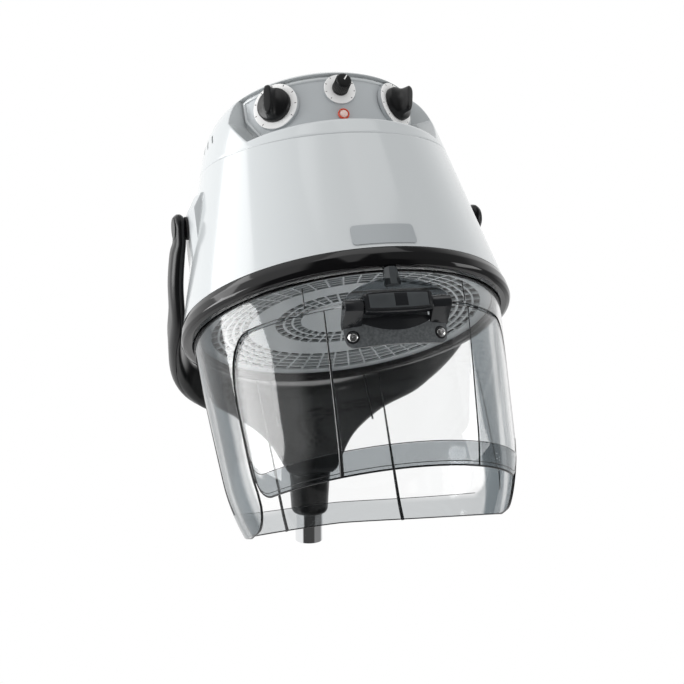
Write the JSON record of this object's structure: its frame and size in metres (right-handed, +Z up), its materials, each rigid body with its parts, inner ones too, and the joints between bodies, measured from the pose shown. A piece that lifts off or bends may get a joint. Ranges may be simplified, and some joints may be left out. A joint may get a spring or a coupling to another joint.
{
  "type": "standing hood dryer",
  "caption": "Salon hood dryer head: silver tilting hood with black rim, air grille, clear visor with a hinged front flap and three controls, on a black fork with a chrome pole end.",
  "frame": {"origin": "centre of the lower end face of the pole", "axes": "+Z up along the pole, -Y to the front where the flap is, +X to the right of someone facing the hood"},
  "size_m": [0.3774, 0.4758, 0.5927],
  "materials": {
    "pole_chrome": "polished",
    "screw_chrome": "polished",
    "fork_black": "satin black",
    "sleeve_black": "satin black",
    "gland_rubber": "matt black",
    "bush_nylon": "natural",
    "fastener_steel": "zinc plated",
    "shell_silver": "gloss silver grey",
    "fascia_silver": "satin silver",
    "rim_black": "gloss black",
    "grille_grey": "light grey",
    "visor_clear": "clear polycarbonate",
    "hinge_smoke": "smoked dark grey",
    "dial_white": "white",
    "knob_black": "satin black",
    "lamp_red": "red",
    "lamp_clear": "pale lens",
    "guide_sheet": "sheet",
    "bracket_sheet": "sheet",
    "motor_case": "grey",
    "fan_plastic": "light grey",
    "heater_board": "mica board",
    "heater_wire": "resistance wire",
    "control_case": "dark grey",
    "cutout_case": "ceramic white"
  },
  "bodies": {
    "post": {"pole_tube": "pole_chrome", "pole_end_plug": "sleeve_black", "swivel_bush": "bush_nylon"},
    "fork": {"fork_outer_shell": "fork_black", "fork_inner_shell": "fork_black", "pole_sleeve": "sleeve_black", "sleeve_clamp_screw": "sleeve_black", "cable_gland": "gland_rubber", "fork_screw_left": "fastener_steel", "fork_screw_right": "fastener_steel", "pivot_bolt_left": "fastener_steel", "pivot_bolt_right": "fastener_steel", "pivot_cap_left": "fork_black", "pivot_cap_right": "fork_black", "friction_washer_left": "gland_rubber", "friction_washer_right": "gland_rubber"},
    "hood": {"hood_shell": "shell_silver", "crown_cover": "shell_silver", "control_fascia": "fascia_silver", "rim_ring": "rim_black", "air_grille": "grille_grey", "grille_screw_1": "fastener_steel", "grille_screw_2": "fastener_steel", "grille_screw_3": "fastener_steel", "grille_screw_4": "fastener_steel", "air_guide": "guide_sheet", "motor_bracket": "bracket_sheet", "motor_body": "motor_case", "heater_frame": "heater_board", "heater_coil": "heater_wire", "thermal_cutout": "cutout_case", "speed_body": "control_case", "timer_body": "control_case", "thermostat_body": "control_case", "speed_dial": "dial_white", "timer_dial": "dial_white", "thermostat_dial": "dial_white", "lamp_bezel": "lamp_red", "lamp_lens": "lamp_clear", "badge_plate": "fascia_silver", "visor_shell": "visor_clear", "hinge_upper_leaf": "hinge_smoke"},
    "flap": {"flap_pane": "visor_clear", "hinge_lower_leaf": "hinge_smoke", "hinge_pin": "fastener_steel", "hinge_screw_left": "screw_chrome", "hinge_screw_right": "screw_chrome"},
    "speed_control": {"speed_knob": "knob_black", "speed_spindle": "fastener_steel"},
    "timer_control": {"timer_knob": "knob_black", "timer_spindle": "fastener_steel"},
    "thermostat_control": {"thermostat_knob": "knob_black", "thermostat_spindle": "fastener_steel"},
    "fan": {"motor_shaft": "fastener_steel", "fan_wheel": "fan_plastic"}
  },
  "joints": [
    {"name": "fork_swivel", "type": "hinge", "parent": "post", "child": "fork", "pos_m": [0, 0, 0.165], "axis": [0, 0, 1], "range_deg": [-170, 170]},
    {"name": "hood_tilt", "type": "hinge", "parent": "fork", "child": "hood", "pos_m": [0, -0.1062, 0.4219], "axis": [1, 0, 0], "range_deg": [-25, 3]},
    {"name": "flap_hinge", "type": "hinge", "parent": "hood", "child": "flap", "pos_m": [0, -0.3518, 0.37137], "axis": [-1, 0, 0], "range_deg": [0, 95]},
    {"name": "speed_turn", "type": "hinge", "parent": "hood", "child": "speed_control", "pos_m": [-0.0662, -0.12744, 0.55368], "axis": [-0.6018, -0.6773, 0.4232], "range_deg": [-135, 135]},
    {"name": "timer_turn", "type": "hinge", "parent": "hood", "child": "timer_control", "pos_m": [0, -0.14199, 0.5722], "axis": [0, -0.848, 0.5299], "range_deg": [0, 300]},
    {"name": "thermostat_turn", "type": "hinge", "parent": "hood", "child": "thermostat_control", "pos_m": [0.0662, -0.12744, 0.55368], "axis": [0.6018, -0.6773, 0.4232], "range_deg": [-135, 135]},
    {"name": "fan_spin", "type": "hinge", "parent": "hood", "child": "fan", "pos_m": [0, -0.1062, 0.4219], "axis": [0, 0.5299, 0.848], "continuous": true}
  ]
}
